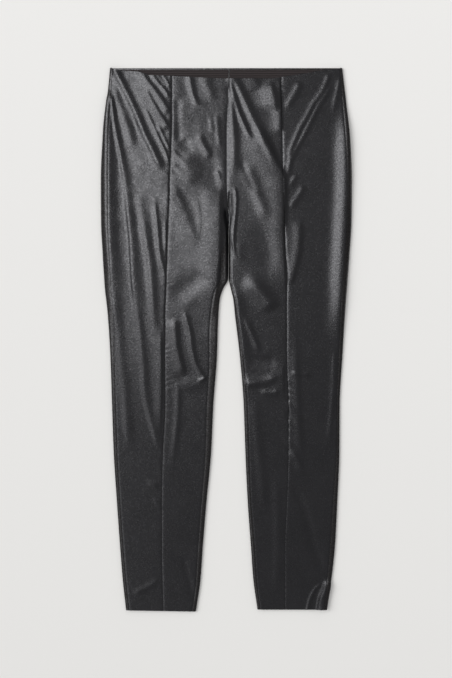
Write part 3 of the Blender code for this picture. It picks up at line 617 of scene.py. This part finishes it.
def ripple(x, down):
    """Faint unevenness of cloth that has been worn and smoothed by hand."""
    waves = np.zeros(x.shape)
    worn = smooth_step((WORN_EDGE[0] - x) / WORN_EASE[0]) * smooth_step((WORN_EDGE[1] - down) / WORN_EASE[1])
    for wave in RIPPLES:
        turn = math.radians(wave.turn)
        place = (x * math.cos(turn) + down * math.sin(turn)) / wave.length
        along = (x * math.sin(turn) - down * math.cos(turn)) / (RIPPLE_BEND * wave.length)
        bend = wave.bend * np.sin(2 * math.pi * along)
        waves += wave.height * np.sin(2 * math.pi * place + bend + wave.shift)
    return waves * (SMOOTH_SHARE + (1 - SMOOTH_SHARE) * worn)


def puckers(x, down):
    """Short uneven gathers across the front seams."""
    gathers = np.zeros(x.shape)
    for row in PUCKERS:
        leg = LEGS[row.leg]
        off = x - leg.seam(down)
        zone = smooth_step((down - row.start) / row.ease) * smooth_step((row.end - down) / row.ease)
        turns = 2 * math.pi * down / row.pitch
        uneven = sum(drift.size * np.sin(turns / drift.pitches) for drift in PUCKER_DRIFTS)
        slant = 2 * math.pi * (down - row.slant * off) / row.pitch
        reach = np.where(off < 0, row.reach_l, row.reach_r)
        strength = PUCKER_LEAST + PUCKER_SWELL * np.sin(turns / PUCKER_SWELL_PITCHES + PUCKER_SWELL_SHIFT)
        gathers += row.height * zone * strength * np.sin(slant + uneven) * np.exp(-np.abs(off) / reach)
    return gathers


def relief(x, down):
    """Height of the top side above its plain level, at points given as arrays."""
    x = np.asarray(x, float)
    down = np.broadcast_to(np.asarray(down, float), x.shape)
    total = seam_dips(x, down) + ripple(x, down) + puckers(x, down)
    for fold in FOLDS:
        add_fold(total, x, down, fold)
    fade = smooth_step((down - WAIST_LIMIT_END[0]) / (WAIST_LIMIT_END[1] - WAIST_LIMIT_END[0]))
    sink = SINK_LIMIT_WAIST + (SINK_LIMIT - SINK_LIMIT_WAIST) * fade
    limit = np.where(total > 0, RISE_LIMIT, sink)
    return limit * np.tanh(total / limit)


# ---------------- mesh helpers
def grid_faces(rows, columns, start=0, flip=False):
    """Four-sided faces of a grid of points numbered row by row."""
    r, c = np.meshgrid(np.arange(rows - 1), np.arange(columns - 1), indexing="ij")
    a = (start + r * columns + c).ravel()
    faces = np.stack([a, a + columns, a + columns + 1, a + 1], axis=1)
    return faces[:, ::-1] if flip else faces


def strip_faces(first, second):
    """Four-sided faces between two equally long rows of point numbers."""
    first = np.asarray(first)
    second = np.asarray(second)
    return np.stack([first[:-1], first[1:], second[1:], second[:-1]], axis=1)


def add_mesh(name, points, faces, material):
    """A mesh piece in metres that rides on the leggings' one body."""
    mesh = bpy.data.meshes.new(name)
    points = np.asarray(points, float).reshape(-1, 3) * MM
    faces = np.asarray(faces, int)
    mesh.vertices.add(len(points))
    mesh.vertices.foreach_set("co", points.astype(np.float32).ravel())
    mesh.loops.add(faces.size)
    mesh.loops.foreach_set("vertex_index", faces.astype(np.int32).ravel())
    mesh.polygons.add(len(faces))
    mesh.polygons.foreach_set("loop_start", np.arange(0, faces.size, faces.shape[1], dtype=np.int32))
    mesh.update(calc_edges=True)
    mesh.validate()
    mesh.shade_smooth()
    mesh.set_sharp_from_angle(angle=SHARP_ANGLE)
    mesh.materials.append(material)
    piece = bpy.data.objects.new(name, mesh)
    bpy.context.scene.collection.objects.link(piece)
    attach(piece, "root")
    return piece


def add_shell(name, outside, inside, flip, material, slot):
    """A closed shell from two equal grids of points, joined round their rim."""
    rows, columns = outside.shape[:2]
    total = rows * columns
    number = np.arange(total).reshape(rows, columns)
    ring = np.concatenate([number[0, :], number[1:, -1], number[-1, -2::-1], number[-2::-1, 0]])
    rims = strip_faces(ring, ring + total)
    faces = [grid_faces(rows, columns, flip=flip), grid_faces(rows, columns, total, flip=not flip),
             rims[:, ::-1] if flip else rims]
    points = np.concatenate([outside.reshape(-1, 3), inside.reshape(-1, 3)])
    return add_mesh(name, points, np.concatenate(faces), material)


def cut_area(widths, down):
    """Area of a flat panel from its widths at several distances down."""
    return float(np.sum((widths[1:] + widths[:-1]) / 2 * np.diff(down)))


def spaced(width):
    """Places across a panel from 0 to 1, closer beside its two seams."""
    fine = np.arange(0, FINE_REACH, FINE_CELL)
    count = max(2, round((width - 2 * FINE_REACH) / CELL))
    middle = np.linspace(FINE_REACH, width - FINE_REACH, count + 1)
    return np.concatenate([fine, middle, width - fine[::-1]]) / width


# ---------------- front panels
def front_point(leg, across, down, depth, height):
    """Space point of a front panel: developed x, down, and depth into the wall."""
    tangent = leg.top_tangent(down)
    past = leg.inward * (across - tangent)
    angle = np.clip(past / EDGE_RADIUS, 0, math.pi)
    x = np.where(past > 0, tangent + leg.inward * EDGE_RADIUS * np.sin(angle), across)
    lift = height * np.clip(np.cos(angle), 0, 1) - depth
    z = EDGE_HEIGHT - EDGE_RADIUS * (1 - np.cos(angle)) + np.cos(angle) * lift
    y = to_y(x, down)
    return np.stack([x + leg.inward * np.sin(angle) * lift, y, z], axis=-1)


def front_shell(name, leg, low_line, high_line, material):
    """A front panel as a closed thin shell on an even grid."""
    width = float(high_line(GAUGE_DOWN) - low_line(GAUGE_DOWN))
    places = spaced(width)
    rows = round(LENGTH / CELL) + 1
    share = np.linspace(0, 1, rows)[:, None]
    top_x = low_line(0.0) + (high_line(0.0) - low_line(0.0)) * places
    top = waist_dip(top_x)[None, :]
    down = top + (LENGTH - top) * share
    across = low_line(down) + (high_line(down) - low_line(down)) * places[None, :]
    bare_x = front_point(leg, across, down, 0.0, 0.0)[..., 0]
    height = relief(bare_x, down)
    outside = front_point(leg, across, down, 0.0, height)
    inside = front_point(leg, across, down, WALL, height)
    piece = add_shell(name, outside, inside, False, material, "leather_front")
    paint_crease_shade(piece, bare_x, down)
    widths = high_line(down[:, 0]) - low_line(down[:, 0])
    return piece, float(widths.max()), cut_area(widths, down[:, 0])


def paint_crease_shade(piece, x, down):
    """Stores how much painted shade each point of a shell's two walls gets in the crease between the legs."""
    shade = np.zeros(x.shape)
    for painted_crease_shade in PAINTED_CREASE_SHADES:
        add_fold(shade, x, down, painted_crease_shade)
    layer = piece.data.attributes.new("painted_crease_shade", "FLOAT", "POINT")
    layer.data.foreach_set("value", np.tile(np.clip(shade, 0, 1).ravel(), 2))


# ---------------- back panels
def edge_knots(full, climb):
    """Arc places round an edge, from the floor to the panel's end, as an array."""
    arc = np.linspace(0, EDGE_ARC, ARC_STEPS + 1)[None, :]
    strip = EDGE_ARC + (full[:, None] - EDGE_ARC) * np.linspace(0, 1, STRIP_STEPS + 1)[None, 1:]
    raised = np.concatenate([np.broadcast_to(arc, (len(full), ARC_STEPS + 1)), strip], axis=1)
    last = raised.shape[1] - 1
    flat = -FLAT_KNOT * (last - np.arange(last + 1))[None, :]
    return (1 - climb)[:, None] * flat + climb[:, None] * raised


def edge_ring(floor_tangent, outward, knots):
    """x, z and inward normals round an edge, one row for each section."""
    tangent = floor_tangent[:, None]
    angle = np.clip(knots / EDGE_RADIUS, 0, math.pi)
    on_floor = knots <= 0
    on_top = knots >= EDGE_ARC
    x = tangent + outward * EDGE_RADIUS * np.sin(angle)
    x = np.where(on_floor, tangent + outward * knots, x)
    x = np.where(on_top, tangent - outward * (knots - EDGE_ARC), x)
    z = EDGE_RADIUS * (1 - np.cos(angle))
    nx = np.where(on_floor | on_top, 0.0, -outward * np.sin(angle))
    nz = np.cos(angle)
    return np.stack([x, z, nx, nz], axis=-1)


def under_relief(x, down, inner):
    """Shallow creases that lift the underside a little off the surface it rests on."""
    total = np.zeros(x.shape)
    for fold in UNDER_FOLDS:
        add_fold(total, x, down, fold)
    above_crotch = smooth_step((CROTCH - down) / CROTCH_EASE)
    total += UNDER_SEAM_LIFT * above_crotch * np.exp(-np.abs(x - inner) / UNDER_SEAM_WIDTH)
    edge = smooth_step((down - UNDER_START) / UNDER_EASE)
    return UNDER_LIMIT * edge * np.tanh(np.clip(total, 0, None) / UNDER_LIMIT)


def back_shell(name, leg, material):
    """A back panel lofted through its sections, closed at the waist and hem."""
    count = round(LENGTH / BACK_CELL) + 1
    down = np.linspace(0, LENGTH, count)
    side_full = EDGE_ARC + leg.side_inset(down) - EDGE_RADIUS - SEAM_GAP / 2
    side_tangent = leg.outer(down) + leg.inward * EDGE_RADIUS
    side = edge_ring(side_tangent, -leg.inward, edge_knots(side_full, np.ones(count)))
    climb = leg.back_climb(down)
    inseam_full = EDGE_ARC + leg.inseam_inset(down) - EDGE_RADIUS - SEAM_GAP / 2
    release = smooth_step((down - CROTCH) / BACK_RELEASE)
    inner_tangent = leg.inner(down) - leg.inward * EDGE_RADIUS * release
    inner = edge_ring(inner_tangent, leg.inward, edge_knots(inseam_full, climb))
    side = side[:, ::-1]
    floor_count = round(abs(inner[0, 0, 0] - side[0, -1, 0]) / FLOOR_CELL)
    share = np.linspace(0, 1, floor_count + 1)[None, 1:-1]
    floor_x = side[:, -1, 0][:, None] * (1 - share) + inner[:, 0, 0][:, None] * share
    blank = np.zeros_like(floor_x)
    lifted = under_relief(floor_x, np.broadcast_to(down[:, None], floor_x.shape), leg.inner(down)[:, None])
    floor = np.stack([floor_x, lifted, blank, blank + 1.0], axis=-1)
    line = np.concatenate([side, floor, inner], axis=1)
    downs = np.broadcast_to(down[:, None], line.shape[:2])
    lift = relief(line[..., 0], downs) * np.clip(-line[..., 3], 0, 1)
    y = to_y(line[..., 0], downs)
    walls = []
    for depth in (0.0, WALL):
        x = line[..., 0] + line[..., 2] * (depth - lift)
        z = line[..., 1] + line[..., 3] * (depth - lift)
        walls.append(np.stack([x, y, z], axis=-1))
    piece = add_shell(name, *walls, leg.inward > 0, material, "leather_back")
    paint_crease_shade(piece, line[..., 0], downs)
    widths = np.hypot(np.diff(line[..., 0], axis=1), np.diff(line[..., 1], axis=1)).sum(axis=1)
    return piece, float(widths.max()), cut_area(widths, down)


# ---------------- waist facing
def facing_shell(name, leg, material):
    """Half of the facing: the thin inside of the back waist."""
    half_gap = leg.inward * FACING_SEAM_GAP
    start = leg.outer(0.0) + leg.inward * FACING_SIDE_CLEARANCE
    columns = round(abs(leg.inner(0.0) - half_gap - start) / CELL) + 1
    downs = np.linspace(FACING_TOP, FACING_DEPTH, round((FACING_DEPTH - FACING_TOP) / CELL) + 1)
    share = np.linspace(0, 1, columns)[None, :]
    down = np.broadcast_to(downs[:, None], (len(downs), columns))
    begin = leg.outer(down) + leg.inward * FACING_SIDE_CLEARANCE
    x = begin + (leg.inner(down) - half_gap - begin) * share
    low = WALL + SEAM_GAP
    walls = []
    for z in (low + FACING_WALL, low):
        walls.append(np.stack([x, to_y(x, down), np.full(x.shape, z)], axis=-1))
    piece = add_shell(name, *walls, leg.inward < 0, material, "waist_facing")
    return piece, float(np.abs(x[:, -1] - x[:, 0]).max()), FACING_DEPTH - FACING_TOP


# ---------------- materials
def new_material(name):
    """A material, its shader and the piece's own coordinates."""
    material = bpy.data.materials.new(name)
    material.use_nodes = True
    place = material.node_tree.nodes.new("ShaderNodeTexCoord")
    return material, material.node_tree.nodes["Principled BSDF"], place


def pattern(material, place, kind="ShaderNodeTexNoise", **sockets):
    """A procedural texture laid out in metres on the piece, with its socket values."""
    node = material.node_tree.nodes.new(kind)
    for name, value in sockets.items():
        node.inputs[name].default_value = value
    material.node_tree.links.new(place.outputs["Object"], node.inputs["Vector"])
    return node


def remap(material, source, low, high):
    """A node that maps a source's range to a new one; low and high each hold the old end
    and the new one."""
    node = material.node_tree.nodes.new("ShaderNodeMapRange")
    node.inputs["From Min"].default_value = low[0]
    node.inputs["From Max"].default_value = high[0]
    node.inputs["To Min"].default_value = low[1]
    node.inputs["To Max"].default_value = high[1]
    material.node_tree.links.new(source, node.inputs["Value"])
    return node


def blend(material, share, first, second):
    """A node that mixes two colours."""
    node = material.node_tree.nodes.new("ShaderNodeMix")
    node.data_type = "RGBA"
    node.inputs["A"].default_value = first
    node.inputs["B"].default_value = second
    material.node_tree.links.new(share, node.inputs["Factor"])
    return node


def emboss(material, source, strength, depth):
    """A bump node; depth is in metres."""
    node = material.node_tree.nodes.new("ShaderNodeBump")
    node.inputs["Strength"].default_value = strength
    node.inputs["Distance"].default_value = depth
    material.node_tree.links.new(source, node.inputs["Height"])
    return node


def leather(name, dark, light, roughness):
    """Black coated cloth: fine grain, soft sheen, faint clouding, and painted shade (a near-black colour and
    dulled shine) in the crease between the legs.
    """
    material, shader, place = new_material(name)
    nodes = material.node_tree.nodes
    links = material.node_tree.links
    shader.inputs["Metallic"].default_value = 0.0
    shader.inputs["Specular Tint"].default_value = SHINE_TINT

    cloud = pattern(material, place, Scale=CLOUD_SCALE, Detail=4.0)
    tint = blend(material, cloud.outputs["Fac"], (*dark, 1.0), (*light, 1.0))
    # Painted shade: the crease attribute mixes the colour towards near-black.
    painted_crease_shade = nodes.new("ShaderNodeAttribute")
    painted_crease_shade.attribute_name = "painted_crease_shade"
    deep = blend(material, painted_crease_shade.outputs["Fac"], (*dark, 1.0), PAINTED_SHADE_COLOR)
    links.new(tint.outputs["Result"], deep.inputs["A"])
    links.new(deep.outputs["Result"], shader.inputs["Base Color"])

    rub = pattern(material, place, Scale=RUB_SCALE, Detail=6.0, Roughness=0.65)
    least = roughness - GLOSS_BELOW
    most = roughness + GLOSS_ABOVE
    gloss = remap(material, rub.outputs["Fac"], (0.0, least), (1.0, most))
    links.new(gloss.outputs["Result"], shader.inputs["Roughness"])

    speck = pattern(material, place, Scale=SPECK_SCALE, Detail=1.0)
    glint = remap(material, speck.outputs["Fac"], *zip(SPECK_RANGE, SPECK_LEVELS))
    # Painted shade also dulls the shine wherever the crease attribute is set.
    sheen_after_painted_shade = nodes.new("ShaderNodeMath")
    sheen_after_painted_shade.operation = "MULTIPLY_ADD"
    sheen_after_painted_shade.inputs[1].default_value = -PAINTED_SHADE_DULLING
    sheen_after_painted_shade.inputs[2].default_value = 1.0
    links.new(painted_crease_shade.outputs["Fac"], sheen_after_painted_shade.inputs[0])
    level = nodes.new("ShaderNodeMath")
    level.operation = "MULTIPLY"
    links.new(glint.outputs["Result"], level.inputs[0])
    links.new(sheen_after_painted_shade.outputs["Value"], level.inputs[1])
    links.new(level.outputs["Value"], shader.inputs["Specular IOR Level"])

    pebble = pattern(material, place, kind="ShaderNodeTexVoronoi", Scale=PEBBLE_SCALE)
    pebble.feature = "SMOOTH_F1"
    grain = pattern(material, place, Scale=GRAIN_SCALE, Detail=8.0, Roughness=0.7)
    both = nodes.new("ShaderNodeMath")
    both.operation = "MULTIPLY_ADD"
    both.inputs[1].default_value = PEBBLE_SHARE
    links.new(pebble.outputs["Distance"], both.inputs[0])
    links.new(grain.outputs["Fac"], both.inputs[2])
    bump = emboss(material, both.outputs["Value"], GRAIN_STRENGTH, GRAIN_DEPTH)
    dimple = pattern(material, place, Scale=DIMPLE_SCALE, Detail=2.0)
    hammer = emboss(material, dimple.outputs["Fac"], 1.0, DIMPLE_DEPTH)
    links.new(hammer.outputs["Normal"], bump.inputs["Normal"])
    links.new(bump.outputs["Normal"], shader.inputs["Normal"])
    return material


def facing_cloth(name, color):
    """Dark brown knitted facing with fine ribs along the waist."""
    material, shader, place = new_material(name)
    shader.inputs["Roughness"].default_value = 0.85
    shader.inputs["Specular IOR Level"].default_value = 0.2
    shader.inputs["Sheen Weight"].default_value = 0.15
    knit = pattern(material, place, kind="ShaderNodeTexWave", Scale=RIB_SCALE, Distortion=1.5, Detail=3.0)
    knit.bands_direction = "Y"
    dark, light = ((*[c * shade for c in color], 1.0) for shade in RIB_SHADES)
    tint = blend(material, knit.outputs["Fac"], dark, light)
    bump = emboss(material, knit.outputs["Fac"], RIB_STRENGTH, RIB_DEPTH)
    links = material.node_tree.links
    links.new(tint.outputs["Result"], shader.inputs["Base Color"])
    links.new(bump.outputs["Normal"], shader.inputs["Normal"])
    return material


LEATHER = leather("black_coated_cloth", dark=(0.0155, 0.0152, 0.0165), light=(0.0210, 0.0207, 0.0225),
                  roughness=0.25)
BACK_LEATHER = leather("black_coated_cloth_back", dark=(0.0155, 0.0145, 0.0145),
                       light=(0.0200, 0.0185, 0.0185), roughness=0.27)
FACING = facing_cloth("dark_brown_facing", (0.0262, 0.0203, 0.0208))


# ---------------- floor, lamps and camera
def add_floor():
    """A plain pale floor whose colour is painted a little lighter towards the waist end, as painted light."""
    mesh = bpy.data.meshes.new("floor")
    size = FLOOR_SIZE
    corners = [(-size, -size, 0), (size, -size, 0), (size, size, 0), (-size, size, 0)]
    mesh.from_pydata(corners, [], [(0, 1, 2, 3)])
    floor = bpy.data.objects.new("floor", mesh)
    floor.location.z = -FLOOR_DROP
    bpy.context.scene.collection.objects.link(floor)
    material, shader, place = new_material("pale_floor")
    shader.inputs["Roughness"].default_value = 0.9
    shader.inputs["Specular IOR Level"].default_value = 0.1
    links = material.node_tree.links
    split = material.node_tree.nodes.new("ShaderNodeSeparateXYZ")
    links.new(place.outputs["Object"], split.inputs["Vector"])
    share = remap(material, split.outputs["Y"], (-FLOOR_FADE, 0.0), (FLOOR_FADE, 1.0))
    tint = blend(material, share.outputs["Result"], (*FLOOR_SHADED_END, 1.0), (*FLOOR_LIT_END, 1.0))
    links.new(tint.outputs["Result"], shader.inputs["Base Color"])
    mesh.materials.append(material)
    return floor


def add_light(name, kind, place, target, strength):
    """A lamp aimed from one place at another."""
    data = bpy.data.lights.new(name, kind)
    data.energy = strength
    light = bpy.data.objects.new(name, data)
    light.location = place
    light.rotation_mode = "QUATERNION"
    light.rotation_quaternion = (Vector(target) - Vector(place)).to_track_quat("-Z", "Y")
    bpy.context.scene.collection.objects.link(light)
    return light


def add_lights():
    """Wide lamps overhead that only the sheen sees; a broad side light for the shadows;
    and an even surround."""
    for lamp in SHEEN_LAMPS:
        centre = ((lamp.left + lamp.right) / 2, (lamp.near + lamp.far) / 2)
        wide = lamp.right - lamp.left
        deep = lamp.far - lamp.near
        panel = add_light(lamp.name, "AREA", (*centre, lamp.height), (*centre, 0.0),
                          lamp.radiance * math.pi * wide * deep)
        panel.data.shape = "RECTANGLE"
        panel.data.size = wide
        panel.data.size_y = deep
        panel.visible_diffuse = False
    side = add_light("side_light", "SUN", SIDE_LIGHT_FROM, (0.0, 0.0, 0.0), SIDE_LIGHT_STRENGTH)
    side.data.angle = SIDE_LIGHT_ANGLE
    side.visible_glossy = False
    world = bpy.data.worlds.new("studio")
    world.use_nodes = True
    background = world.node_tree.nodes["Background"]
    background.inputs["Color"].default_value = (1.0, 1.0, 1.0, 1.0)
    background.inputs["Strength"].default_value = SURROUND_STRENGTH
    world.cycles_visibility.glossy = False
    bpy.context.scene.world = world


def add_camera():
    """A camera straight above, framed as the photo."""
    data = bpy.data.cameras.new("camera")
    data.sensor_width = CAMERA_SENSOR
    data.lens = CAMERA_LENS
    data.clip_end = CAMERA_REACH
    camera = bpy.data.objects.new("camera", data)
    distance = CAMERA_LENS / CAMERA_SENSOR * IMAGE_HEIGHT * MM_PER_PIXEL * MM
    camera.location = ((IMAGE_WIDTH / 2 - ORIGIN_PIXEL[0]) * MM_PER_PIXEL * MM,
                       (ORIGIN_PIXEL[1] - IMAGE_HEIGHT / 2) * MM_PER_PIXEL * MM, distance)
    bpy.context.scene.collection.objects.link(camera)
    bpy.context.scene.camera = camera


# ---------------- the pieces
def front_lines(leg):
    """Each front panel's two edge lines, from the viewer's left to the right."""
    half_gap = leg.inward * SEAM_GAP / 2

    def side_line(down):
        return leg.side_seam(down) + half_gap

    def seam_outer(down):
        return leg.seam(down) - half_gap

    def seam_inner(down):
        return leg.seam(down) + half_gap

    order = int(leg.inward)
    return {"outer": (side_line, seam_outer)[::order], "inner": (seam_inner, leg.front_inner_end)[::order]}


floor = add_floor()
for side_name, leg_lines in LEGS.items():
    back, widest, area = back_shell("back_cloth_" + side_name, leg_lines, BACK_LEATHER)
    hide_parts("back_" + side_name)
    facing, widest, depth = facing_shell("facing_cloth_" + side_name, leg_lines, FACING)
    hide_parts("waist_facing_" + side_name)
    for part, lines in front_lines(leg_lines).items():
        panel, widest, area = front_shell(f"front_{part}_cloth_{side_name}", leg_lines, *lines, LEATHER)
        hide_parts(f"front_{part}_{side_name}")

add_lights()
add_camera()
bpy.context.scene.view_settings.view_transform = "Standard"
